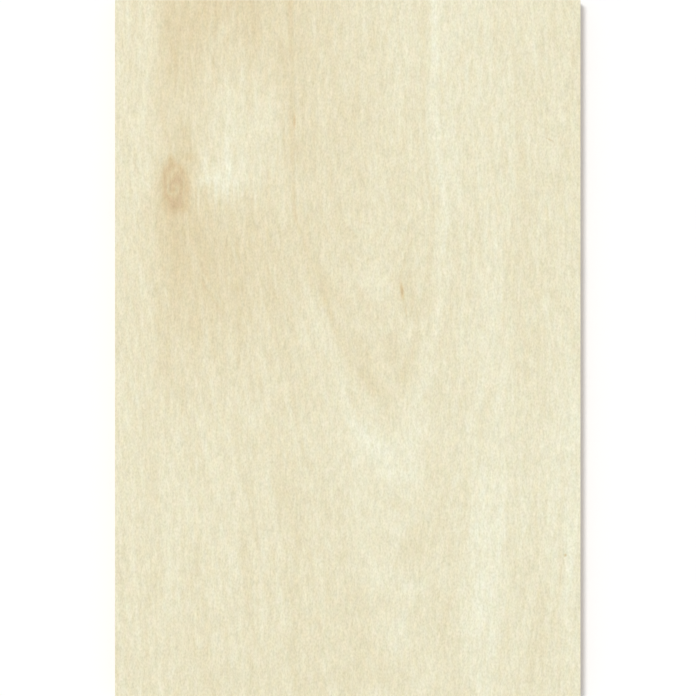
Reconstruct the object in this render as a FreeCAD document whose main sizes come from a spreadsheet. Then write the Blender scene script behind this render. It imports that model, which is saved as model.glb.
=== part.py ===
# Faced particle board: one cut-to-size panel of sheet stock, sawn square on all four sides.
#
# Part frame, in millimetres: the panel lies flat, and the origin is the middle of its underside.
# +X runs across the panel, +Y along its length and its wood grain, +Z up through its thickness.

import FreeCAD, Part
import Sketcher

import os

# Driving dimensions: alias, millimetres, what it is.
SIZES = (
    ("board_width", 400.0, "across the grain, along X"),
    ("board_length", 600.0, "along the grain, along Y"),
    ("board_thickness", 18.0, "overall, with the facings on both sides"),
    ("edge_arris", 0.2, "width of the flat that a sanding block leaves on each sharp edge"),
)

PARTS_FOLDER = "parts"
BROKEN_STATES = ("Invalid", "Error")

# How a sketch names the ends of a line, and its own origin point.
LINE_START = 1
LINE_END = 2
SKETCH_ORIGIN = (-1, 1)


def add_size_sheet(doc):
    """The spreadsheet of driving dimensions: one row each, with its name, value and meaning."""
    sheet = doc.addObject("Spreadsheet::Sheet", "sizes")
    for row, (alias, value, meaning) in enumerate(SIZES, start=1):
        sheet.set(f"A{row}", alias)
        sheet.set(f"B{row}", str(value))
        sheet.set(f"C{row}", meaning)
        sheet.setAlias(f"B{row}", alias)
    doc.recompute()
    return sheet


def origin_plane(body, role):
    """One of the body's own origin planes, such as XY_Plane."""
    return next(plane for plane in body.Origin.OriginFeatures if plane.Role == role)


def draw_outline(body, sheet):
    """The panel's outline on the floor plane: a rectangle centred on the origin."""
    sketch = body.newObject("Sketcher::SketchObject", "outline")
    sketch.AttachmentSupport = [(origin_plane(body, "XY_Plane"), "")]
    sketch.MapMode = "FlatFace"

    half_width = sheet.board_width / 2
    half_length = sheet.board_length / 2
    corners = [
        FreeCAD.Vector(-half_width, -half_length, 0),
        FreeCAD.Vector(half_width, -half_length, 0),
        FreeCAD.Vector(half_width, half_length, 0),
        FreeCAD.Vector(-half_width, half_length, 0),
    ]
    near, right, far, left = (
        sketch.addGeometry(Part.LineSegment(start, end))
        for start, end in zip(corners, corners[1:] + corners[:1])
    )

    for side, following in ((near, right), (right, far), (far, left), (left, near)):
        sketch.addConstraint(
            Sketcher.Constraint("Coincident", side, LINE_END, following, LINE_START)
        )
    for side in (near, far):
        sketch.addConstraint(Sketcher.Constraint("Horizontal", side))
    for side in (right, left):
        sketch.addConstraint(Sketcher.Constraint("Vertical", side))
    sketch.addConstraint(
        Sketcher.Constraint("Symmetric", near, LINE_START, far, LINE_START, *SKETCH_ORIGIN)
    )

    for kind, side, alias in (
        ("DistanceX", near, "board_width"),
        ("DistanceY", right, "board_length"),
    ):
        size = Sketcher.Constraint(kind, side, LINE_START, side, LINE_END, sheet.get(alias))
        sketch.renameConstraint(sketch.addConstraint(size), alias)
        sketch.setExpression(f"Constraints.{alias}", f"sizes.{alias}")
    return sketch


def build_board(doc, sheet):
    """The pressed and faced panel: one solid, padded from its outline, with every edge eased."""
    body = doc.addObject("PartDesign::Body", "board")
    body.Label = "particle_board"
    body.Placement = FreeCAD.Placement()

    panel = body.newObject("PartDesign::Pad", "panel")
    panel.Profile = draw_outline(body, sheet)
    panel.setExpression("Length", "sizes.board_thickness")
    doc.recompute()

    arris = body.newObject("PartDesign::Chamfer", "arris")
    arris.Base = (panel, [f"Edge{number + 1}" for number in range(len(panel.Shape.Edges))])
    arris.setExpression("Size", "sizes.edge_arris")
    doc.recompute()
    return body


def check_document(doc, sub_parts):
    """Stops the build if a feature failed or a sub-part has no sound shape."""
    for item in doc.Objects:
        broken = [state for state in item.State if state in BROKEN_STATES]
        if broken:
            raise RuntimeError(f"{item.Label} did not build: {broken}")
    for body in sub_parts:
        if body.Shape.isNull() or not body.Shape.isValid():
            raise RuntimeError(f"{body.Label} has no valid shape")


def write_sub_parts(sub_parts):
    """One STEP file for each sub-part, named after its Label."""
    os.makedirs(PARTS_FOLDER, exist_ok=True)
    for body in sub_parts:
        body.Shape.exportStep(f"{PARTS_FOLDER}/{body.Label}.step")
        box = body.Shape.BoundBox
        print(f"{body.Label}: {box.XLength:.2f} x {box.YLength:.2f} x {box.ZLength:.2f} mm")


def main():
    doc = FreeCAD.newDocument("faced_particle_board")
    sheet = add_size_sheet(doc)
    sub_parts = [build_board(doc, sheet)]
    check_document(doc, sub_parts)
    write_sub_parts(sub_parts)


main()
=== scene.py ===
"""The looks of a faced particle board: one panel of sheet stock, sawn square on all four sides.

Lengths are in metres, in the frame of the construction model. The panel lies flat: +X runs across it,
+Y along its length and its grain, and +Z up through its thickness, out of the face that shows.
"""

import math
import random

import bmesh
import bpy
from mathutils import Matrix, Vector


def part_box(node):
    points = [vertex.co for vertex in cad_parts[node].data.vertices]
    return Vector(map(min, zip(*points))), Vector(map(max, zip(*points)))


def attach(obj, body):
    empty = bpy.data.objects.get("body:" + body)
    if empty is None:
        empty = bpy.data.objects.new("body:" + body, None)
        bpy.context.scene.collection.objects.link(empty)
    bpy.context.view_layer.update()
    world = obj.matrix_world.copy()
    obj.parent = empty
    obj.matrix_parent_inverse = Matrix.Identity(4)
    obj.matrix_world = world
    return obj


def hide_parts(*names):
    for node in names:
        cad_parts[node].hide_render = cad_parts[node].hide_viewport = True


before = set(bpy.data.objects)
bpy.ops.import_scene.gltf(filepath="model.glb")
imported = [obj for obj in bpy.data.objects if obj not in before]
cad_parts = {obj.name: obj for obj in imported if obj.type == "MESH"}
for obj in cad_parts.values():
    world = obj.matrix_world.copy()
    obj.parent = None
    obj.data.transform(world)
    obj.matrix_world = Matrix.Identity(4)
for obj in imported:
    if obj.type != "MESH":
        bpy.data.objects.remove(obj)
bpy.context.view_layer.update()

BOARD = "particle_board"
BOARD_LOW, BOARD_HIGH = (Vector(corner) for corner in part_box(BOARD))
BOARD_SIZE = BOARD_HIGH - BOARD_LOW
BOARD_CENTRE = (BOARD_LOW + BOARD_HIGH) / 2

bl_info = {
    "name": "Faced Particle Board",
    "version": (1, 0, 0),
    "blender": (4, 5, 0),
    "location": "View3D > Sidebar > Board",
    "description": "Models a particle board panel with wood-grain facings and bare sawn edges",
    "category": "Add Mesh",
}

# ---------------------------------------------------------------- settings


def length_property(name, description, metres):
    return bpy.props.FloatProperty(
        name=name, description=description, default=metres, unit="LENGTH", subtype="DISTANCE"
    )


def share_property(name, description, share):
    return bpy.props.FloatProperty(
        name=name, description=description, default=share, min=0.0, max=1.0, subtype="FACTOR"
    )


def colour_property(name, description, shown):
    """A colour given as it shows on a screen, from 0 to 255 a channel."""
    return bpy.props.FloatVectorProperty(
        name=name, description=description, default=scene_colour(shown), size=3,
        min=0.0, max=1.0, subtype="COLOR",
    )


def scene_colour(shown):
    """Screen values from 0 to 255 as the linear values that materials use."""
    shares = (value / 255 for value in shown)
    return tuple(s / 12.92 if s <= 0.04045 else ((s + 0.055) / 1.055) ** 2.4 for s in shares)


class BoardSizes(bpy.types.PropertyGroup):
    """How the panel is made up, beside the overall size that the frame gives."""

    facing: length_property("Facing", "Thickness of the facing on each side", 0.0004)
    arris: length_property("Arris", "Flat that sanding leaves on every sharp edge", 0.0002)
    surface_layer: length_property("Surface layer", "Depth of the fine chips under a facing", 0.0032)
    chip_length: length_property("Chip length", "Usual length of a chip of the middle layer", 0.006)
    chip_depth: length_property("Chip thickness", "Usual thickness of a chip of the middle layer", 0.0009)
    nick: length_property("Nick", "Usual length of a nick that the saw leaves in a facing", 0.0009)


class FacingLook(bpy.types.PropertyGroup):
    """The colours of the facing, from its palest fibres to the heart of a knot."""

    white: colour_property("White", "The palest fibres", (245.5, 247.5, 227))
    pale: colour_property("Pale", "Sapwood streaks", (239.5, 236.5, 209))
    ground: colour_property("Ground", "Most of the face", (233, 225.5, 193))
    tan: colour_property("Tan", "Heartwood and late wood", (223.5, 209.5, 170))
    brown: colour_property("Brown", "Stain round a knot", (215, 194, 149))
    knot: colour_property("Knot", "Heart of a knot", (206, 180, 138))
    mottle: share_property("Mottle", "How far the colour drifts to rose and to straw", 0.045)
    roughness: share_property("Roughness", "Of the satin lacquer", 0.5)


class EdgeLook(bpy.types.PropertyGroup):
    """The colours of the chips on a sawn edge."""

    straw: colour_property("Straw", "Fresh softwood chips", (236, 211, 165))
    tan: colour_property("Tan", "Most of the chips", (216, 181, 132))
    russet: colour_property("Russet", "Heartwood chips", (184, 138, 94))
    bark: colour_property("Bark", "Bark and voids", (112, 78, 50))
    roughness: share_property("Roughness", "Of bare sawn chips", 0.85)


class StageLook(bpy.types.PropertyGroup):
    """The plain pale floor, the soft light and the camera."""

    floor_tone: share_property("Floor", "How pale the floor is", 0.9)
    floor_lift: share_property("Floor lift", "How much paler the floor looks to the camera", 0.165)
    sky: share_property("Sky", "Share of the light that comes from all round", 0.42)
    lamp: share_property("Lamp", "Share of the light that comes from the lamp", 0.53)
    lamp_angle: bpy.props.FloatProperty(
        name="Lamp angle", description="How wide the lamp is, which softens its shadow",
        default=math.radians(15), subtype="ANGLE", unit="ROTATION",
    )
    shadow_right: length_property("Shadow to the right", "How far the shadow reaches that way", 0.0052)
    shadow_near: length_property("Shadow to the near end", "How far the shadow reaches that way", 0.0043)
    lens_mm: bpy.props.FloatProperty(
        name="Lens", description="Focal length of the camera, in millimetres", default=150.0
    )
    picture_width: length_property("Picture width", "What the camera takes in across the face", 0.598)


# ---------------------------------------------------------------- modelling helpers


def deselect_all():
    if bpy.context.object and bpy.context.object.mode != "OBJECT":
        bpy.ops.object.mode_set(mode="OBJECT")
    bpy.ops.object.select_all(action="DESELECT")


def make_active(obj):
    deselect_all()
    obj.select_set(True)
    bpy.context.view_layer.objects.active = obj


def add_slab(name, low, high):
    """A block between two corners, with its place in its mesh."""
    deselect_all()
    bpy.ops.mesh.primitive_cube_add(size=1, location=(low + high) / 2, scale=high - low)
    bpy.ops.object.transform_apply(location=True, rotation=True, scale=True)
    slab = bpy.context.object
    slab.name = slab.data.name = name
    return slab


class editing:
    """Edit mode on one object, in one kind of selection, with nothing selected to start with."""

    def __init__(self, obj, kind):
        self.obj = obj
        self.kind = kind

    def __enter__(self):
        make_active(self.obj)
        bpy.ops.object.mode_set(mode="EDIT")
        bpy.ops.mesh.select_mode(type=self.kind)
        bpy.ops.mesh.select_all(action="DESELECT")
        return self

    def __exit__(self, *_):
        bpy.ops.object.mode_set(mode="OBJECT")

    def select(self, kind, wanted):
        """Selects the vertices, edges or faces that pass a test, and nothing else."""
        bpy.ops.mesh.select_all(action="DESELECT")
        mesh = bmesh.from_edit_mesh(self.obj.data)
        for item in getattr(mesh, kind):
            if wanted(item):
                item.select_set(True)
        mesh.select_flush_mode()
        bmesh.update_edit_mesh(self.obj.data)


def runs_along(axis):
    """A test for edges that run along one axis, 0 to 2."""

    def wanted(edge):
        run = edge.verts[1].co - edge.verts[0].co
        return abs(run[axis]) > 0.999 * run.length

    return wanted


def lies_at(axis, place, reach=1e-6):
    """A test for edges or faces whose vertices all lie at one place along an axis."""

    def wanted(item):
        return all(abs(vertex.co[axis] - place) < reach for vertex in item.verts)

    return wanted


def wall_of(point):
    """Which sawn side a point is nearest to, as its axis and its direction."""
    reach = [BOARD_SIZE[axis] / 2 - abs(point[axis] - BOARD_CENTRE[axis]) for axis in (0, 1)]
    axis = 0 if reach[0] < reach[1] else 1
    return axis, 1 if point[axis] > BOARD_CENTRE[axis] else -1


# ---------------------------------------------------------------- shader helpers


def add_node(tree, kind, inputs=None, **settings):
    """One node: settings are its properties, and inputs are values or the sockets that feed it."""
    node = tree.nodes.new(kind)
    for name, value in settings.items():
        setattr(node, name, value)
    for name, value in (inputs or {}).items():
        if isinstance(value, bpy.types.NodeSocket):
            tree.links.new(value, node.inputs[name])
        else:
            node.inputs[name].default_value = value
    return node


def maths(tree, operation, first, second=0.0, clamp=False):
    node = add_node(tree, "ShaderNodeMath", {0: first, 1: second}, operation=operation, use_clamp=clamp)
    return node.outputs[0]


def times(tree, first, second):
    return maths(tree, "MULTIPLY", first, second)


def vector_maths(tree, operation, first, second):
    return add_node(tree, "ShaderNodeVectorMath", {0: first, 1: second}, operation=operation).outputs[0]


def ranged(tree, value, start, end, low=0.0, high=1.0, smooth=True):
    """Turns start..end into low..high, and holds it there beyond them."""
    node = add_node(
        tree, "ShaderNodeMapRange",
        {"Value": value, "From Min": start, "From Max": end, "To Min": low, "To Max": high},
        interpolation_type="SMOOTHSTEP" if smooth else "LINEAR",
    )
    return node.outputs["Result"]


def mixed_colour(tree, factor, first, second, blend="MIX"):
    node = add_node(
        tree, "ShaderNodeMix", {0: factor, 6: first, 7: second}, data_type="RGBA", blend_type=blend
    )
    return node.outputs[2]


def vector_of(tree, x=0.0, y=0.0, z=0.0):
    """A vector put together from values or sockets."""
    return add_node(tree, "ShaderNodeCombineXYZ", {0: x, 1: y, 2: z}).outputs[0]


def parts_of(tree, vector):
    """The x, y and z of a vector."""
    return add_node(tree, "ShaderNodeSeparateXYZ", {0: vector}).outputs


def colour_ramp(tree, share, stops):
    """Colours along a share from 0 to 1. Stops are (position, colour)."""
    ramp = add_node(tree, "ShaderNodeValToRGB", {"Fac": share})
    elements = ramp.color_ramp.elements
    while len(elements) < len(stops):
        elements.new(0.5)
    for element, (position, colour) in zip(elements, stops):
        element.position = position
        element.color = (*colour, 1)
    return ramp.outputs["Color"]


def added(tree, values):
    """The sum of several sockets."""
    total, *rest = values
    for value in rest:
        total = maths(tree, "ADD", total, value)
    return total


def new_group(name, inputs, outputs):
    """An empty shader group. Inputs are (name, kind, default), and outputs are (name, kind)."""
    group = bpy.data.node_groups.new(name, "ShaderNodeTree")
    for label, kind, default in inputs:
        socket = group.interface.new_socket(label, in_out="INPUT", socket_type=f"NodeSocket{kind}")
        if default is not None:
            socket.default_value = default
    for label, kind in outputs:
        group.interface.new_socket(label, in_out="OUTPUT", socket_type=f"NodeSocket{kind}")
    return group, group.nodes.new("NodeGroupInput").outputs, group.nodes.new("NodeGroupOutput").inputs


def use_group(tree, name, inputs):
    """One of the shader groups above, fed with values or sockets."""
    return add_node(tree, "ShaderNodeGroup", inputs, node_tree=bpy.data.node_groups[name])


def new_material(name):
    """A material with its Principled BSDF, and its node tree."""
    material = bpy.data.materials.new(name)
    material.use_nodes = True
    tree = material.node_tree
    return material, tree, tree.nodes["Principled BSDF"]


# ---------------------------------------------------------------- the figure of the facing

# Tone is a step along the wood's own colours: 0 is the ground, below it is darker and browner wood.
TONE_KNOT, TONE_BROWN, TONE_TAN, TONE_GROUND, TONE_PALE, TONE_WHITE = -90, -58, -30, 0, 20, 45

# Fine fibres that cover the whole face: width and length of one, and how far it swings the light.
FINE_FIBRES = {
    "pores": (0.0013, 0.0023, 0.18),
    "short fibres": (0.0024, 0.0100, 0.130),
}

# How much of that swing the red, green and blue take, which keeps the fibres neutral.
FINE_FIBRE_SHARES = (1.0, 1.0, 1.2)

# Broader fibres: width and length of one, and how far it swings the tone.
FIBRES = {
    "long fibres": (0.0052, 0.036, 16),
    "streaks": (0.012, 0.20, 9),
    "bands": (0.030, 0.60, 4),
}

# The first seed of the broader fibres, and the step from one layer's seed to the next.
FIBRES_SEED, SEED_STEP = 14.6, 7.3

# Finer noises: width and length of one wave, and the seed that sets it apart from the others.
NOISES = {
    "ring wander": (0.030, 0.120, 3.1),
    "knot wobble": (0.008, 0.012, 11.7),
    "patch feather": (0.0028, 0.070, 1.9),
    "patch sway": (0.014, 0.060, 5.3),
    "back sway": (0.060, 0.300, 8.9),
    "rose mottle": (0.0050, 0.0090, 14.2),
    "straw mottle": (0.0040, 0.0080, 17.8),
    "facing relief": (0.0016, 0.020, 2.2),
    "chip tilt": (0.008, 0.008, 4.4),
    "chip fibre": (0.0016, 0.0016, 6.1),
    "saw lines": (0.0009, 0.0009, 9.4),
}

# How far the wandering ones move the figure, in metres.
RING_WANDER, PATCH_FEATHER, PATCH_SWAY, BACK_SWAY = 0.002, 0.032, 0.008, 0.012

# The straw mottle swings this many times as far as the rose one.
STRAW_TO_ROSE = 1.6

# Soft patches of the face that shows: (centre x, y), (reach across, along), turn in degrees, tone.
FRONT_PATCHES = {
    "arch at the far end": ((-0.102, 0.325), (0.112, 0.138), 0, -35),
    "left foot of the arch": ((-0.145, 0.235), (0.037, 0.120), 0, -23),
    "right foot of the arch": ((-0.055, 0.235), (0.022, 0.095), 0, -9),
    "far pale streaks": ((0.092, 0.285), (0.032, 0.080), 0, 4),
    "flame": ((-0.098, 0.190), (0.046, 0.085), 0, 3),
    "flame tip": ((-0.104, 0.152), (0.026, 0.048), 0, 9),
    "stroke beside the knot": ((-0.108, 0.146), (0.042, 0.027), 10, 15),
    "shade over the knot": ((-0.136, 0.178), (0.020, 0.034), 0, -10),
    "stain round the knot": ((-0.147, 0.124), (0.034, 0.080), 0, -20),
    "stain below the knot": ((-0.114, 0.078), (0.098, 0.132), 16, -28),
    "stain tail": ((-0.147, 0.004), (0.042, 0.110), 0, -11),
    "shade left of the crown": ((-0.054, 0.010), (0.022, 0.075), 0, -5),
    "crown end": ((0.021, -0.020), (0.050, 0.055), 0, -6),
    "crown edge": ((-0.012, 0.050), (0.028, 0.058), 12, -9),
    "crown heart": ((-0.018, 0.185), (0.062, 0.230), 0, -12),
    "right of the crown heart": ((0.050, 0.130), (0.020, 0.120), 0, -7),
    "line in the crown": ((0.050, 0.185), (0.005, 0.060), 0, -9),
    "shade round the fleck": ((0.050, 0.048), (0.017, 0.038), 0, -9),
    "brown streak": ((0.150, 0.080), (0.017, 0.220), 0, -8),
    "brown spot": ((0.156, 0.010), (0.012, 0.022), 0, -7),
    "broad pale streak": ((0.120, -0.205), (0.025, 0.330), 0, 13),
    "narrow pale streak": ((0.129, 0.040), (0.012, 0.330), 0, 7),
    "near pale streak": ((0.108, -0.190), (0.017, 0.150), 0, 9),
    "right pale streak": ((0.192, -0.130), (0.036, 0.300), 0, 11),
    "soft pale streak": ((0.150, -0.130), (0.017, 0.140), 0, 7),
    "left pale streak": ((-0.150, -0.180), (0.020, 0.150), 0, 8),
    "second left pale streak": ((-0.108, -0.160), (0.022, 0.140), 0, 7),
}

# Small marks with clean edges: (centre x, y), (reach across, along), turn in degrees, tone.
FRONT_MARKS = {
    "hook over the knot": ((-0.136, 0.165), (0.014, 0.007), 0, -13),
    "dark shoulder of the knot": ((-0.1440, 0.1510), (0.0065, 0.0130), -20, -15),
    "dark foot of the knot": ((-0.1530, 0.1230), (0.0080, 0.0100), 0, -3),
    "pale curve in the arch": ((-0.1080, 0.2720), (0.0075, 0.0480), -36, 11),
    "tongue from the knot": ((-0.1220, 0.1455), (0.0210, 0.0075), 12, 12),
    "flame stroke": ((-0.1035, 0.1650), (0.0060, 0.0520), 0, 9),
    "second flame stroke": ((-0.0700, 0.2050), (0.0070, 0.0340), 0, 8),
    "slanting stroke": ((-0.1170, 0.0520), (0.0022, 0.0330), 32, 9),
    "shade beside it": ((-0.1205, 0.0500), (0.0022, 0.0300), 32, -10),
    "fleck beside the flame": ((-0.0458, 0.196), (0.0018, 0.0100), 0, -50),
    "fleck below it": ((-0.0440, 0.172), (0.0035, 0.0140), 8, -14),
    "fleck in the crown": ((0.0466, 0.0500), (0.0026, 0.0120), 8, -56),
    "tail of that fleck": ((0.0500, 0.0320), (0.0013, 0.0120), 6, -20),
    "slanting fleck": ((0.1735, 0.1800), (0.0012, 0.0045), 62, -40),
    "gum dot": ((0.1871, -0.1770), (0.0019, 0.0019), 0, -70),
}

# Where the grain is pushed aside: (centre x, y), (reach across, along), push across.
GRAIN_PUSHES = {
    "bulge beside the crown": ((-0.050, 0.115), (0.060, 0.080), 0.005),
}

# The crown is a cone of growth rings cut lengthways, so each ring runs straight along the grain and
# closes as a parabola. Its middle leans a little from the far end to the near end.
CROWN_OPENS_Y = 0.110
CROWN_CLOSING = 0.0221
CROWN_MIDDLE_NEAR, CROWN_MIDDLE_FAR = (-0.140, 0.041), (0.200, 0.008)

# Rings that stand out: radius, half width, tone, and the patch they show in, if not everywhere.
CROWN_RINGS = {
    "late wood round the crown": (0.0572, 0.0040, -11, None),
    "shade inside its end": (0.0500, 0.0130, -6, ((0.020, -0.010), (0.080, 0.110))),
    "left side of the crown": (0.0565, 0.0028, -7, ((-0.040, 0.130), (0.034, 0.110))),
    "pale ring": (0.0675, 0.0068, 5, None),
    "right side of the pale ring": (0.0675, 0.0060, 5, ((0.080, 0.190), (0.040, 0.300))),
    "pale ring at the tip": (0.0690, 0.0120, 13, ((0.036, -0.092), (0.066, 0.095))),
    "late wood outside": (0.0985, 0.0026, -10, ((-0.045, -0.050), (0.040, 0.090))),
}
CROWN_HEART_RADIUS = 0.058
CROWN_HEART_TONE = -2

# The knot: its middle, its reach across and along, its lean in degrees, and its rings.
KNOT_CENTRE = (-0.1490, 0.1390)
KNOT_REACH = (0.0125, 0.0245)
KNOT_LEAN = 6
KNOT_BODY, KNOT_RIM, KNOT_SWIRL = -34, -9, 17

# Inside the knot, 1 is its reach: where its body and its swirl start and are full, and its rim.
KNOT_BODY_FROM, KNOT_BODY_FULL = 1.35, 0.45
KNOT_SWIRL_FROM, KNOT_SWIRL_FULL = 1.0, 0.6
KNOT_RIM_RADIUS, KNOT_RIM_HALF_WIDTH = 0.78, 0.36
KNOT_WINDING, KNOT_WOBBLE = 11.0, 0.32

# The face turns paler towards the right, and the line at the left where the stain stops short.
PALER_RIGHT_STARTS, PALER_RIGHT_FULL, PALER_RIGHT_TONE = -0.050, 0.110, 4
STAIN_ENDS_X, STAIN_FADE, STAIN_LEFT = -0.164, 0.003, 0.60


def build_grain_noise():
    """Noise from about -1 to 1, drawn out along the grain."""
    group, given, made = new_group(
        "grain_noise",
        [("Vector", "Vector", None), ("Width", "Float", 0.01), ("Length", "Float", 0.1),
         ("Seed", "Float", 0.0)],
        [("Value", "Float")],
    )
    scale = vector_of(group, given["Width"], given["Length"], given["Width"])
    place = vector_maths(group, "DIVIDE", given["Vector"], scale)
    moved = vector_maths(group, "ADD", place, given["Seed"])
    turned = add_node(group, "ShaderNodeMapping", {"Vector": moved, "Rotation": (0.6, 0.8, 0.5)})
    noise = add_node(
        group, "ShaderNodeTexNoise",
        {"Vector": turned.outputs[0], "Scale": 1.0, "Detail": 1.0, "Roughness": 0.5},
    )
    centred = maths(group, "SUBTRACT", noise.outputs["Fac"], 0.5)
    group.links.new(times(group, centred, 2.0), made["Value"])


def build_soft_patch():
    """A soft oval: 1 at its centre, falling smoothly to 0 at its reach."""
    group, given, made = new_group(
        "soft_patch",
        [("Vector", "Vector", None), ("Centre", "Vector", None), ("Turn", "Float", 0.0),
         ("Reach", "Vector", (1, 1, 1))],
        [("Mask", "Float")],
    )
    turn = vector_of(group, z=given["Turn"])
    local = add_node(
        group, "ShaderNodeMapping",
        {"Vector": given["Vector"], "Location": given["Centre"], "Rotation": turn,
         "Scale": given["Reach"]},
        vector_type="TEXTURE",
    )
    away = add_node(group, "ShaderNodeVectorMath", {0: local.outputs[0]}, operation="LENGTH")
    group.links.new(ranged(group, away.outputs["Value"], 0.0, 1.0, 1.0, 0.0), made["Mask"])


def build_ring_band():
    """A soft band along one growth ring."""
    group, given, made = new_group(
        "ring_band",
        [("Ring", "Float", 0.0), ("Radius", "Float", 0.1), ("Half Width", "Float", 0.01)],
        [("Mask", "Float")],
    )
    away = maths(group, "ABSOLUTE", maths(group, "SUBTRACT", given["Ring"], given["Radius"]))
    share = maths(group, "DIVIDE", away, given["Half Width"])
    group.links.new(ranged(group, share, 0.0, 1.0, 1.0, 0.0), made["Mask"])


def patch_mask(tree, vector, centre, reach, turn=0):
    node = use_group(
        tree, "soft_patch",
        {"Vector": vector, "Centre": (*centre, 0), "Turn": math.radians(turn), "Reach": (*reach, 1)},
    )
    return node.outputs["Mask"]


def grain_noise(tree, vector, width, length, seed):
    node = use_group(
        tree, "grain_noise", {"Vector": vector, "Width": width, "Length": length, "Seed": seed}
    )
    return node.outputs["Value"]


def named_noise(tree, vector, name):
    """One of the finer noises above."""
    return grain_noise(tree, vector, *NOISES[name])


def build_fibres():
    """The broader fibres and streaks that cover a whole face, drawn out along the rings."""
    group, given, made = new_group(
        "fibres", [("Vector", "Vector", None), ("Ring", "Float", 0.0)], [("Tone", "Float")]
    )
    split = parts_of(group, given["Vector"])
    across = times(group, split[0], 0.3)
    along_rings = vector_of(group, given["Ring"], split[1], across)
    tones = []
    for number, (width, length, tone) in enumerate(FIBRES.values()):
        seed = FIBRES_SEED + SEED_STEP * number
        noise = grain_noise(group, along_rings, width, length, seed)
        tones.append(times(group, noise, tone))
    group.links.new(added(group, tones), made["Tone"])


def crown_ring(tree, vector):
    """The radius of the growth ring at each point of the face."""
    pushed = vector
    for centre, reach, push in GRAIN_PUSHES.values():
        move = times(tree, patch_mask(tree, vector, centre, reach), push)
        pushed = vector_maths(tree, "ADD", pushed, vector_of(tree, move))
    wander = times(tree, named_noise(tree, vector, "ring wander"), RING_WANDER)
    split = parts_of(tree, pushed)
    x, y = split[0], split[1]
    beyond = maths(tree, "MAXIMUM", maths(tree, "SUBTRACT", CROWN_OPENS_Y, y), 0.0)
    (near_y, near_x), (far_y, far_x) = CROWN_MIDDLE_NEAR, CROWN_MIDDLE_FAR
    middle = ranged(tree, y, near_y, far_y, near_x, far_x, smooth=False)
    across = maths(tree, "SUBTRACT", x, middle)
    closing = times(tree, beyond, CROWN_CLOSING)
    square = maths(tree, "ADD", times(tree, across, across), closing)
    return maths(tree, "ADD", maths(tree, "SQRT", square), wander)


def knot_tone(tree, vector):
    """A small knot: a soft brown body, a darker rim and faint rings wound round its middle."""
    wobble = times(tree, named_noise(tree, vector, "knot wobble"), KNOT_WOBBLE)
    local = add_node(
        tree, "ShaderNodeMapping",
        {"Vector": vector, "Location": (*KNOT_CENTRE, 0), "Rotation": (0, 0, math.radians(KNOT_LEAN)),
         "Scale": (*KNOT_REACH, 1)},
        vector_type="TEXTURE",
    )
    away = add_node(tree, "ShaderNodeVectorMath", {0: local.outputs[0]}, operation="LENGTH")
    ring = maths(tree, "ADD", away.outputs["Value"], wobble)
    split = parts_of(tree, local.outputs[0])
    turn = maths(tree, "ARCTAN2", split[1], split[0])
    body = times(tree, ranged(tree, ring, KNOT_BODY_FROM, KNOT_BODY_FULL), KNOT_BODY)
    rim = use_group(
        tree, "ring_band",
        {"Ring": ring, "Radius": KNOT_RIM_RADIUS, "Half Width": KNOT_RIM_HALF_WIDTH},
    )
    rim = times(tree, rim.outputs["Mask"], KNOT_RIM)
    wound = maths(tree, "ADD", times(tree, ring, KNOT_WINDING), turn)
    wave = maths(tree, "SINE", wound)
    inside = ranged(tree, ring, KNOT_SWIRL_FROM, KNOT_SWIRL_FULL)
    swirl = times(tree, times(tree, wave, inside), KNOT_SWIRL)
    return added(tree, [body, rim, swirl])


def build_crown_figure():
    """The tone of the face that shows: a crown with a pale ring, and a knot with its stain."""
    group, given, made = new_group("crown_figure", [("Vector", "Vector", None)], [("Tone", "Float")])
    vector = given["Vector"]
    feather = times(group, named_noise(group, vector, "patch feather"), PATCH_FEATHER)
    sway = times(group, named_noise(group, vector, "patch sway"), PATCH_SWAY)
    feathered = vector_maths(group, "ADD", vector, vector_of(group, sway, feather))
    ring = crown_ring(group, vector)

    x = parts_of(group, vector)[0]
    stained = ranged(group, x, STAIN_ENDS_X - STAIN_FADE, STAIN_ENDS_X, STAIN_LEFT, 1.0)

    tones = []
    for centre, reach, turn, tone in FRONT_PATCHES.values():
        mask = patch_mask(group, feathered, centre, reach, turn)
        if tone < 0 and centre[0] - reach[0] < STAIN_ENDS_X:
            mask = times(group, mask, stained)
        tones.append(times(group, mask, tone))
    tones += [
        times(group, patch_mask(group, vector, centre, reach, turn), tone)
        for centre, reach, turn, tone in FRONT_MARKS.values()
    ]
    for radius, half_width, tone, patch in CROWN_RINGS.values():
        band = use_group(
            group, "ring_band", {"Ring": ring, "Radius": radius, "Half Width": half_width}
        ).outputs["Mask"]
        if patch:
            band = times(group, band, patch_mask(group, feathered, *patch))
        tones.append(times(group, band, tone))
    tones.append(
        ranged(group, ring, CROWN_HEART_RADIUS, CROWN_HEART_RADIUS - 0.005, 0, CROWN_HEART_TONE)
    )
    # A tone that rises from left to right across the face, making its right side paler.
    tones.append(ranged(group, x, PALER_RIGHT_STARTS, PALER_RIGHT_FULL, 0, PALER_RIGHT_TONE))
    tones.append(knot_tone(group, vector))
    tones.append(use_group(group, "fibres", {"Vector": vector, "Ring": ring}).outputs["Tone"])
    group.links.new(added(group, tones), made["Tone"])


# Long streaks of the plain, quarter-cut back: centre x, reach across, tone.
BACK_STREAKS = {
    "left": (-0.130, 0.050, -8),
    "middle": (-0.020, 0.070, 6),
    "right of the middle": (0.060, 0.030, -9),
    "right": (0.140, 0.045, 7),
}


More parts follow.
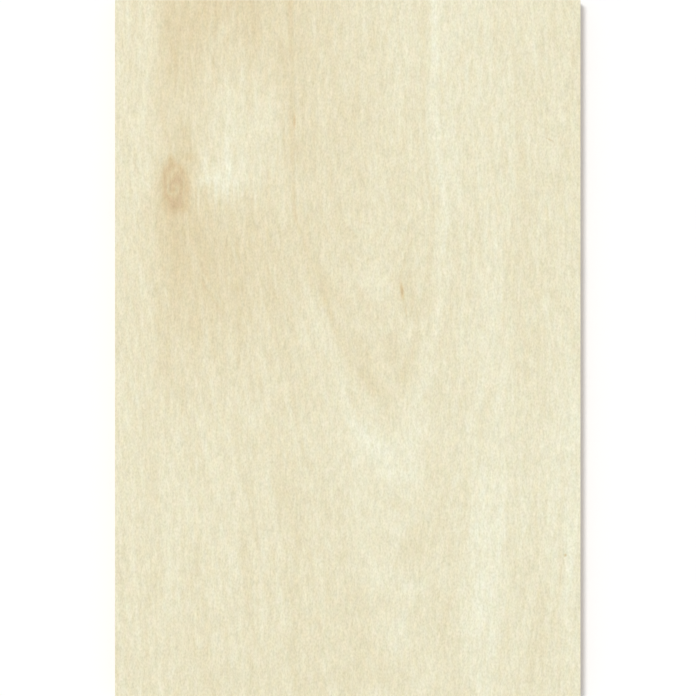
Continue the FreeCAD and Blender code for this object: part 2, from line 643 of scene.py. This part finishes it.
def build_straight_figure():
    """The tone of the hidden face: straight grain with a few long streaks."""
    group, given, made = new_group("straight_figure", [("Vector", "Vector", None)], [("Tone", "Float")])
    vector = given["Vector"]
    sway = times(group, named_noise(group, vector, "back sway"), BACK_SWAY)
    swayed = vector_maths(group, "ADD", vector, vector_of(group, sway))
    tones = [
        times(group, patch_mask(group, swayed, (x, 0.0), (reach, 2.0)), tone)
        for x, reach, tone in BACK_STREAKS.values()
    ]
    ring = parts_of(group, swayed)[0]
    tones.append(use_group(group, "fibres", {"Vector": swayed, "Ring": ring}).outputs["Tone"])
    group.links.new(added(group, tones), made["Tone"])


def build_facing_colour():
    """Turns tone into the wood's colour, with fine fibres and a faint rose and straw mottle."""
    look = bpy.context.scene.facing_look
    group, given, made = new_group(
        "facing_colour", [("Vector", "Vector", None), ("Tone", "Float", 0.0)], [("Color", "Color")]
    )
    share = ranged(group, given["Tone"], TONE_KNOT, TONE_WHITE, smooth=False)
    tones = (
        (TONE_KNOT, look.knot), (TONE_BROWN, look.brown), (TONE_TAN, look.tan),
        (TONE_GROUND, look.ground), (TONE_PALE, look.pale), (TONE_WHITE, look.white),
    )
    stops = [((tone - TONE_KNOT) / (TONE_WHITE - TONE_KNOT), colour) for tone, colour in tones]
    wood = colour_ramp(group, share, stops)
    rose = times(group, named_noise(group, given["Vector"], "rose mottle"), look.mottle)
    straw = maths(
        group, "MULTIPLY", named_noise(group, given["Vector"], "straw mottle"),
        STRAW_TO_ROSE * look.mottle,
    )
    tint = vector_of(group, maths(group, "ADD", rose, 1.0), 1.0, maths(group, "ADD", straw, 1.0))
    tinted = vector_maths(group, "MULTIPLY", wood, tint)
    fine = [
        maths(
            group, "MULTIPLY",
            grain_noise(group, given["Vector"], width, length, SEED_STEP * number), strength,
        )
        for number, (width, length, strength) in enumerate(FINE_FIBRES.values())
    ]
    swing = vector_maths(group, "MULTIPLY", added(group, fine), FINE_FIBRE_SHARES)
    light = vector_maths(group, "ADD", swing, (1, 1, 1))
    group.links.new(vector_maths(group, "MULTIPLY", tinted, light), made["Color"])


# How far the fibres swing the roughness of a facing, and how deep they are.
ROUGHNESS_SWING, FIBRE_RELIEF = 0.06, 0.00005


def facing_material(name, figure):
    """Satin wood-grain facing with one of the figures, read flat across the face."""
    look = bpy.context.scene.facing_look
    material, tree, surface = new_material(name)
    place = add_node(tree, "ShaderNodeTexCoord").outputs["Object"]
    flat = vector_maths(tree, "MULTIPLY", place, (1, 1, 0))
    tone = use_group(tree, figure, {"Vector": flat}).outputs["Tone"]
    colour = use_group(tree, "facing_colour", {"Vector": flat, "Tone": tone}).outputs["Color"]
    tree.links.new(colour, surface.inputs["Base Color"])
    fibre = named_noise(tree, flat, "facing relief")
    dullest, glossiest = look.roughness + ROUGHNESS_SWING, look.roughness - ROUGHNESS_SWING
    rough = ranged(tree, fibre, -0.4, 0.4, glossiest, dullest, smooth=False)
    tree.links.new(rough, surface.inputs["Roughness"])
    bump = add_node(
        tree, "ShaderNodeBump", {"Strength": 0.25, "Distance": FIBRE_RELIEF, "Height": fibre}
    )
    tree.links.new(bump.outputs[0], surface.inputs["Normal"])
    return material


# ---------------------------------------------------------------- the chips of the sawn sides


def build_chip_cells():
    """Flat chips of one size, cut across: a random shade and pick for each, and the gap round it."""
    group, given, made = new_group(
        "chip_cells",
        [("Vector", "Vector", None), ("Length", "Float", 0.006), ("Thickness", "Float", 0.001)],
        [("Shade", "Float"), ("Pick", "Float"), ("Gap", "Float")],
    )
    scale = vector_of(group, given["Length"], given["Length"], given["Thickness"])
    place = vector_maths(group, "DIVIDE", given["Vector"], scale)
    cell = add_node(group, "ShaderNodeTexVoronoi", {"Vector": place, "Scale": 1.0}, feature="F1")
    edge = add_node(
        group, "ShaderNodeTexVoronoi", {"Vector": place, "Scale": 1.0}, feature="DISTANCE_TO_EDGE"
    )
    random_values = add_node(group, "ShaderNodeSeparateColor", {0: cell.outputs["Color"]})
    group.links.new(random_values.outputs[0], made["Shade"])
    group.links.new(random_values.outputs[1], made["Pick"])
    group.links.new(ranged(group, edge.outputs["Distance"], 0.0, 0.10, 1.0, 0.0), made["Gap"])


# How far the chips tilt out of level, and how gradually the layers change, in metres.
CHIP_TILT, LAYER_BLEND = 0.0016, 0.0007

# The surface chips are this many times shorter and thinner than those of the middle.
SHORTER, THINNER = 3, 2.5

# Positions of the chip colours along the random shade.
RUSSET_AT, TAN_AT, STRAW_AT = 0.0, 0.30, 0.72

# The last picks are bark chips and voids, a void's dark being painted shade: where they start and are
# full, how dark bark and the painted shade of the gaps are, the relief.
BARK_AND_VOID_FROM, BARK_AND_VOID_FULL, BARK_AND_VOID_SHARE, GAP_SHADE_SHARE, CHIP_RELIEF = 0.92, 0.95, 0.85, 0.60, 0.00012


def chip_material():
    """Bare chips: fine and pale near the facings, coarse and mixed in the middle."""
    scene = bpy.context.scene
    sizes, look = scene.board_sizes, scene.edge_look
    material, tree, surface = new_material("sawn_chips")
    place = add_node(tree, "ShaderNodeTexCoord").outputs["Object"]
    tilt = times(tree, named_noise(tree, place, "chip tilt"), CHIP_TILT)
    tilted = vector_maths(tree, "ADD", place, vector_of(tree, z=tilt))
    middle = use_group(
        tree, "chip_cells",
        {"Vector": tilted, "Length": sizes.chip_length, "Thickness": sizes.chip_depth},
    )
    surface_chips = use_group(
        tree, "chip_cells",
        {"Vector": tilted, "Length": sizes.chip_length / SHORTER,
         "Thickness": sizes.chip_depth / THINNER},
    )

    height = parts_of(tree, tilted)[2]
    from_middle = maths(tree, "ABSOLUTE", maths(tree, "SUBTRACT", height, BOARD_CENTRE.z))
    layer_starts = BOARD_SIZE.z / 2 - sizes.facing - sizes.surface_layer
    fine = ranged(tree, from_middle, layer_starts - LAYER_BLEND, layer_starts + LAYER_BLEND)

    def by_layer(output, low, high):
        """One of the chips' values: the middle's own, and the surface's kept between low and high."""
        fine_value = ranged(tree, surface_chips.outputs[output], 0.0, 1.0, low, high, smooth=False)
        node = add_node(
            tree, "ShaderNodeMix", {0: fine, 2: middle.outputs[output], 3: fine_value}, data_type="FLOAT"
        )
        return node.outputs[0]

    shade = by_layer("Shade", 0.30, 0.95)
    gap = by_layer("Gap", 0.0, 0.5)
    pick = by_layer("Pick", 0.0, 0.9)

    stops = ((RUSSET_AT, look.russet), (TAN_AT, look.tan), (STRAW_AT, look.straw))
    wood = colour_ramp(tree, shade, stops)
    fibre = named_noise(tree, vector_maths(tree, "MULTIPLY", tilted, (1, 1, 9)), "chip fibre")
    saw = named_noise(tree, vector_maths(tree, "MULTIPLY", place, (1, 1, 0.02)), "saw lines")
    light = added(tree, [times(tree, fibre, 0.20), times(tree, saw, 0.10)])
    light = maths(tree, "ADD", light, 1.0)
    grey = add_node(tree, "ShaderNodeCombineColor", {0: light, 1: light, 2: light}).outputs[0]
    chips = mixed_colour(tree, 1.0, wood, grey, "MULTIPLY")

    # Bark chips darken with their own colour. The voids and the gaps between chips are darkened as painted
    # shade in those hollows.
    bark = times(tree, ranged(tree, pick, BARK_AND_VOID_FROM, BARK_AND_VOID_FULL), BARK_AND_VOID_SHARE)
    dark = maths(tree, "MAXIMUM", bark, times(tree, gap, GAP_SHADE_SHARE))
    shown = mixed_colour(tree, dark, chips, (*look.bark, 1))
    tree.links.new(shown, surface.inputs["Base Color"])

    surface.inputs["Roughness"].default_value = look.roughness
    surface.inputs["Specular IOR Level"].default_value = 0.25
    relief = added(
        tree,
        [shade, times(tree, fibre, 0.5), times(tree, dark, -1.6)],
    )
    bump = add_node(tree, "ShaderNodeBump", {"Strength": 0.6, "Distance": CHIP_RELIEF, "Height": relief})
    tree.links.new(bump.outputs[0], surface.inputs["Normal"])
    return material


def bonding_material():
    """The faces where facing and chips are bonded, which only show in a nick."""
    if "bonded_face" in bpy.data.materials:
        return bpy.data.materials["bonded_face"]
    material, _, surface = new_material("bonded_face")
    surface.inputs["Base Color"].default_value = (*bpy.context.scene.edge_look.tan, 1)
    surface.inputs["Roughness"].default_value = 0.9
    return material


# ---------------------------------------------------------------- walking round the sawn sides

# The sawn sides in the order that a strip laid round the panel meets them: axis, direction.
SIDES = ((0, 1), (1, 1), (0, -1), (1, -1))
SIDE_LENGTHS = [BOARD_SIZE[1 - axis] for axis, _ in SIDES]
ROUND_LENGTH = sum(SIDE_LENGTHS)


def point_round(distance):
    """The point, at half height, that lies this far along the strip, with its side."""
    for (axis, direction), length in zip(SIDES, SIDE_LENGTHS):
        if distance < length:
            point = BOARD_CENTRE.copy()
            point[axis] += direction * BOARD_SIZE[axis] / 2
            point[1 - axis] = BOARD_LOW[1 - axis] + distance
            return point, (axis, direction)
        distance -= length
    raise ValueError("the strip is shorter than that")


def distance_round(point, side):
    """How far along the strip a point on one side lies."""
    before = sum(SIDE_LENGTHS[: SIDES.index(side)])
    return before + point[1 - side[0]] - BOARD_LOW[1 - side[0]]


# ---------------------------------------------------------------- the pieces


def bake_map(mesh):
    """The map that a bake uses, made where the mesh has none."""
    layer = mesh.uv_layers[0] if mesh.uv_layers else mesh.uv_layers.new(name="OFBake")
    layer.name = "OFBake"
    return layer


def give_materials(piece, material):
    """A piece's own finish in its first slot, and that of its bonded faces in its second."""
    piece.data.materials.clear()
    piece.data.materials.append(material)
    piece.data.materials.append(bonding_material())


# How many nicks each facing has, and the seed of their places.
NICKS = {"front_facing": (36, 3), "back_facing": (70, 4)}


def cut_nicks(slab, height, count, seed):
    """Breaks the sawn sides of a facing here and there, where the saw lifted its edge."""
    sizes = bpy.context.scene.board_sizes
    chance = random.Random(seed)
    deselect_all()
    bpy.ops.mesh.primitive_ico_sphere_add(subdivisions=1, radius=0.5)
    pattern = bpy.context.object
    nicks = []
    for number in range(count):
        point, (axis, _) = point_round((number + chance.uniform(0.1, 0.9)) * ROUND_LENGTH / count)
        nick = pattern.copy()
        nick.data = pattern.data.copy()
        bpy.context.collection.objects.link(nick)
        nick.location = (point.x, point.y, height + chance.uniform(-0.5, 0.5) * sizes.facing)
        size = Vector((sizes.nick, sizes.nick, sizes.nick)) * chance.uniform(0.5, 1.6)
        size[axis] = sizes.nick * chance.uniform(0.15, 0.6)
        size.z = sizes.nick * chance.uniform(0.4, 0.9)
        nick.scale = size
        nick.rotation_euler.z = chance.uniform(-0.25, 0.25)
        nicks.append(nick)
    bpy.data.objects.remove(pattern)
    deselect_all()
    for nick in nicks:
        nick.select_set(True)
    bpy.context.view_layer.objects.active = nicks[0]
    bpy.ops.object.join()
    cutter = bpy.context.object

    make_active(slab)
    cut = slab.modifiers.new("nicks", "BOOLEAN")
    cut.operation = "DIFFERENCE"
    cut.solver = "EXACT"
    cut.object = cutter
    bpy.ops.object.modifier_apply(modifier=cut.name)
    bpy.data.objects.remove(cutter)


def lay_out_facing(slab, outer_z):
    """The map that a bake of a facing uses: its face fills it, and its thin sides lie in strips."""
    face_low, face_high = Vector((0.008, 0.085)), Vector((0.992, 0.992))
    strip_height, strip_pitch = 0.010, 0.016
    glue_low, glue_size = Vector((0.60, 0.005)), 0.01
    low_z = min(vertex.co.z for vertex in slab.data.vertices)
    high_z = max(vertex.co.z for vertex in slab.data.vertices)
    layer = bake_map(slab.data)
    for face in slab.data.polygons:
        outer = abs(face.center.z - outer_z) < 1e-6
        side = wall_of(face.center)
        for corner in face.loop_indices:
            point = slab.data.vertices[slab.data.loops[corner].vertex_index].co
            share = Vector(((point[i] - BOARD_LOW[i]) / BOARD_SIZE[i] for i in (0, 1)))
            if outer:
                place = [face_low[i] + share[i] * (face_high[i] - face_low[i]) for i in (0, 1)]
            elif face.material_index:
                place = glue_low + share * glue_size
            else:
                row = SIDES.index(side)
                along = share[1 - side[0]]
                up = (point.z - low_z) / (high_z - low_z)
                place = (0.01 + 0.98 * along, 0.006 + row * strip_pitch + up * strip_height)
            layer.data[corner].uv = place


def add_facing(name, low_z, high_z, outer_z, material):
    """One facing: a thin sheet with eased outer edges, nicked along the saw cut."""
    sizes = bpy.context.scene.board_sizes
    low = Vector((BOARD_LOW.x, BOARD_LOW.y, low_z))
    high = Vector((BOARD_HIGH.x, BOARD_HIGH.y, high_z))
    slab = add_slab(name, low, high)
    with editing(slab, "EDGE") as edit:
        edit.select("edges", lambda edge: lies_at(2, outer_z)(edge) or runs_along(2)(edge))
        bpy.ops.mesh.bevel(offset=sizes.arris, offset_type="WIDTH", segments=1, affect="EDGES")
    cut_nicks(slab, outer_z, *NICKS[name])
    give_materials(slab, material)
    glue_z = low_z if outer_z == high_z else high_z
    for face in slab.data.polygons:
        glued = all(abs(slab.data.vertices[i].co.z - glue_z) < 1e-6 for i in face.vertices)
        face.material_index = 1 if glued else 0
    lay_out_facing(slab, outer_z)
    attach(slab, "root")
    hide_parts(BOARD)
    return slab


# Pits in the sawn sides: depth, and the share of the chips that are torn out so deep.
PITS = ((0.00012, 0.22), (0.00025, 0.10), (0.00050, 0.045))
PIT_SEED, PIT_RIM = 21, 0.12

# How far a chip's corners wander, as a share of its length, and the seed of that.
CHIP_WANDER, CHIP_SEED = 0.34, 5


def lay_out_core(core, caps_at):
    """The map that a bake of the sawn sides uses: the strip round the panel, folded into rows."""
    rows = 10
    used = 0.97
    row_length = ROUND_LENGTH / rows
    low_z, high_z = caps_at
    layer = bake_map(core.data)
    for face in core.data.polygons:
        side = wall_of(face.center)
        row = min(int(distance_round(face.center, side) / row_length), rows - 1)
        for corner in face.loop_indices:
            point = core.data.vertices[core.data.loops[corner].vertex_index].co
            if face.material_index:
                place = [
                    0.01 + 0.1 * (point.x - BOARD_LOW.x) / BOARD_SIZE.x,
                    used + 0.005 + 0.02 * (point.y - BOARD_LOW.y) / BOARD_SIZE.y,
                ]
            else:
                along = (distance_round(point, side) - row * row_length) / row_length
                up = (point.z - low_z) / (high_z - low_z)
                place = (0.03 + 0.94 * along, used * (row + 0.04 + 0.92 * up) / rows)
            layer.data[corner].uv = place


def make_wall_chips(edit, core, low_z, high_z):
    """Gives the chips of the sawn sides their uneven outlines, without leaving the sawn planes."""
    sizes = bpy.context.scene.board_sizes
    stretch = sizes.chip_length / sizes.chip_depth
    middle = tuple(BOARD_CENTRE)

    def inner_wall(vertex):
        off_caps = low_z + 1e-6 < vertex.co.z < high_z - 1e-6
        from_corner = max(
            BOARD_SIZE[axis] / 2 - abs(vertex.co[axis] - BOARD_CENTRE[axis]) for axis in (0, 1)
        )
        return off_caps and from_corner > 2 * sizes.arris

    edit.select("verts", inner_wall)
    bpy.ops.transform.resize(value=(1, 1, stretch), center_override=middle)
    bpy.ops.transform.vertex_random(offset=CHIP_WANDER * sizes.chip_length, uniform=1.0, seed=CHIP_SEED)
    bpy.ops.transform.resize(value=(1, 1, 1 / stretch), center_override=middle)
    for axis, direction in SIDES:
        plane = BOARD_CENTRE.copy()
        plane[axis] += direction * BOARD_SIZE[axis] / 2
        edit.select("verts", lambda vertex: inner_wall(vertex) and wall_of(vertex.co) == (axis, direction))
        flat = [1, 1, 1]
        flat[axis] = 0
        bpy.ops.transform.resize(value=flat, center_override=tuple(plane))


def add_sawn_core(material):
    """The pressed chips between the facings, with pits where the saw tore chips out of its sides."""
    sizes = bpy.context.scene.board_sizes
    chance = random.Random(PIT_SEED)
    low = BOARD_LOW + Vector((0, 0, sizes.facing))
    high = BOARD_HIGH - Vector((0, 0, sizes.facing))
    core = add_slab("sawn_chip_core", low, high)
    with editing(core, "EDGE") as edit:
        edit.select("edges", runs_along(2))
        bpy.ops.mesh.bevel(offset=sizes.arris, offset_type="WIDTH", segments=1, affect="EDGES")
        for axis in (0, 1):
            edit.select("edges", runs_along(axis))
            bpy.ops.mesh.subdivide(number_cuts=round(BOARD_SIZE[axis] / sizes.chip_length) - 1)
        edit.select("edges", runs_along(2))
        bpy.ops.mesh.subdivide(number_cuts=round((high.z - low.z) / sizes.chip_depth) - 1)
    with editing(core, "VERT") as edit:
        make_wall_chips(edit, core, low.z, high.z)
    with editing(core, "FACE") as edit:
        for depth, share in PITS:
            edit.select("faces", lambda face: is_whole_chip(face) and chance.random() < share)
            bpy.ops.mesh.inset(thickness=sizes.chip_depth * PIT_RIM, depth=-depth, use_individual=True)
    give_materials(core, material)
    for face in core.data.polygons:
        face.material_index = 1 if abs(face.normal.z) > 0.999 else 0
    lay_out_core(core, (low.z, high.z))
    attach(core, "root")
    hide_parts(BOARD)
    return core


def is_whole_chip(face):
    """True for a chip on a sawn plane, away from corners and caps, that hasn't been torn out yet."""
    sizes = bpy.context.scene.board_sizes
    axis, direction = wall_of(face.calc_center_median())
    plane = BOARD_CENTRE[axis] + direction * BOARD_SIZE[axis] / 2
    return (
        face.calc_area() > 0.4 * sizes.chip_length * sizes.chip_depth
        and abs(face.normal[axis]) > 0.999
        and all(abs(vertex.co[axis] - plane) < 1e-6 for vertex in face.verts)
    )


# ---------------------------------------------------------------- the stage

FLOOR_SIZE, FLOOR_GAP = 30, 0.0001
SENSOR_MM = 36
CAMERA_X, CAMERA_Y, CAMERA_SEES_TO = 0.0002, 0.001, 100


def add_floor():
    """A wide pale floor that the camera sees as white, with the panel's shadow left on it."""
    look = bpy.context.scene.stage_look
    deselect_all()
    bpy.ops.mesh.primitive_plane_add(size=FLOOR_SIZE, location=(0, 0, BOARD_LOW.z - FLOOR_GAP))
    bpy.ops.object.transform_apply(location=True, rotation=True, scale=True)
    floor = bpy.context.object
    floor.name = floor.data.name = "studio_floor"
    material = bpy.data.materials.new("pale_floor")
    material.use_nodes = True
    tree = material.node_tree
    tree.nodes.clear()
    tone = (look.floor_tone, look.floor_tone, look.floor_tone, 1)
    matt = add_node(tree, "ShaderNodeBsdfDiffuse", {"Color": tone})
    seen = seen_directly(tree)
    lift = times(tree, seen, look.floor_lift)
    glow = add_node(tree, "ShaderNodeEmission", {"Color": (1, 1, 1, 1), "Strength": lift})
    both = add_node(tree, "ShaderNodeAddShader", {0: matt.outputs[0], 1: glow.outputs[0]})
    add_node(tree, "ShaderNodeOutputMaterial", {"Surface": both.outputs[0]})
    floor.data.materials.append(material)


def seen_directly(tree):
    """1 for what the camera sees, straight or in a gloss or through glass, and 0 for other light."""
    path = add_node(tree, "ShaderNodeLightPath").outputs
    both = maths(tree, "MAXIMUM", path["Is Camera Ray"], path["Is Glossy Ray"])
    return maths(tree, "MAXIMUM", both, path["Is Transmission Ray"])


def add_world():
    look = bpy.context.scene.stage_look
    world = bpy.data.worlds.new("studio")
    world.use_nodes = True
    tree = world.node_tree
    background = tree.nodes["Background"]
    background.inputs["Color"].default_value = (1, 1, 1, 1)
    strength = ranged(tree, seen_directly(tree), 0, 1, look.sky, 1.0, smooth=False)
    tree.links.new(strength, background.inputs["Strength"])
    bpy.context.scene.world = world


def add_lamp():
    look = bpy.context.scene.stage_look
    deselect_all()
    travels = Vector((look.shadow_right, -look.shadow_near, -BOARD_SIZE.z))
    bpy.ops.object.light_add(type="SUN", location=(-0.5, 0.4, 1.8))
    lamp = bpy.context.object
    lamp.name = "window_light"
    lamp.rotation_euler = travels.to_track_quat("-Z", "Y").to_euler()
    lamp.data.angle = look.lamp_angle
    lamp.data.energy = look.lamp * math.pi * travels.length / BOARD_SIZE.z


def add_camera():
    """Straight above the face, far enough back that its edges stay square."""
    look = bpy.context.scene.stage_look
    deselect_all()
    data = bpy.data.cameras.new("face_camera")
    data.lens = look.lens_mm
    data.sensor_width = SENSOR_MM
    camera = bpy.data.objects.new("face_camera", data)
    bpy.context.collection.objects.link(camera)
    height = look.picture_width * data.lens / data.sensor_width
    camera.location = (CAMERA_X, CAMERA_Y, BOARD_HIGH.z + height)
    data.clip_end = CAMERA_SEES_TO
    bpy.context.scene.camera = camera


# ---------------------------------------------------------------- the add-on


def once(name, build):
    """Builds a shader group the first time it is wanted."""
    if name not in bpy.data.node_groups:
        build()


def build_shared_groups():
    for build in (build_grain_noise, build_soft_patch, build_ring_band, build_fibres, build_facing_colour):
        once(build.__name__.removeprefix("build_"), build)


class BOARD_OT_front_facing(bpy.types.Operator):
    """Adds the facing that shows, with its crown figure and knot"""

    bl_idname = "board.front_facing"
    bl_label = "Front Facing"

    def execute(self, context):
        sizes = context.scene.board_sizes
        build_shared_groups()
        once("crown_figure", build_crown_figure)
        material = facing_material("crown_grain_facing", "crown_figure")
        add_facing("front_facing", BOARD_HIGH.z - sizes.facing, BOARD_HIGH.z, BOARD_HIGH.z, material)
        return {"FINISHED"}


class BOARD_OT_back_facing(bpy.types.Operator):
    """Adds the facing of the hidden side, with straight grain"""

    bl_idname = "board.back_facing"
    bl_label = "Back Facing"

    def execute(self, context):
        sizes = context.scene.board_sizes
        build_shared_groups()
        once("straight_figure", build_straight_figure)
        material = facing_material("straight_grain_facing", "straight_figure")
        add_facing("back_facing", BOARD_LOW.z, BOARD_LOW.z + sizes.facing, BOARD_LOW.z, material)
        return {"FINISHED"}


class BOARD_OT_sawn_core(bpy.types.Operator):
    """Adds the pressed chips between the facings, bare on the sawn sides"""

    bl_idname = "board.sawn_core"
    bl_label = "Sawn Core"

    def execute(self, context):
        once("grain_noise", build_grain_noise)
        once("chip_cells", build_chip_cells)
        add_sawn_core(chip_material())
        return {"FINISHED"}


class BOARD_OT_stage(bpy.types.Operator):
    """Adds the pale floor, the soft light and the camera"""

    bl_idname = "board.stage"
    bl_label = "Stage"

    def execute(self, context):
        add_floor()
        add_world()
        add_lamp()
        add_camera()
        context.scene.view_settings.view_transform = "Standard"
        return {"FINISHED"}


class BOARD_PT_panel(bpy.types.Panel):
    """Lists the panel's settings and the steps that make it"""

    bl_label = "Particle Board"
    bl_space_type = "VIEW_3D"
    bl_region_type = "UI"
    bl_category = "Board"

    def draw(self, context):
        for name in SETTINGS:
            box = self.layout.box()
            settings = getattr(context.scene, name)
            for key in settings.__annotations__:
                box.prop(settings, key)
        for operator in STEPS:
            self.layout.operator(operator.bl_idname)


SETTINGS = {
    "board_sizes": BoardSizes,
    "facing_look": FacingLook,
    "edge_look": EdgeLook,
    "stage_look": StageLook,
}
STEPS = (BOARD_OT_front_facing, BOARD_OT_back_facing, BOARD_OT_sawn_core, BOARD_OT_stage)


def register():
    for made in (*SETTINGS.values(), *STEPS, BOARD_PT_panel):
        bpy.utils.register_class(made)
    for name, group in SETTINGS.items():
        setattr(bpy.types.Scene, name, bpy.props.PointerProperty(type=group))


def unregister():
    for name in SETTINGS:
        delattr(bpy.types.Scene, name)
    for made in reversed((*SETTINGS.values(), *STEPS, BOARD_PT_panel)):
        bpy.utils.unregister_class(made)


def main():
    register()
    bpy.ops.board.front_facing()
    bpy.ops.board.back_facing()
    bpy.ops.board.sawn_core()
    bpy.ops.board.stage()


if __name__ == "__main__":
    main()
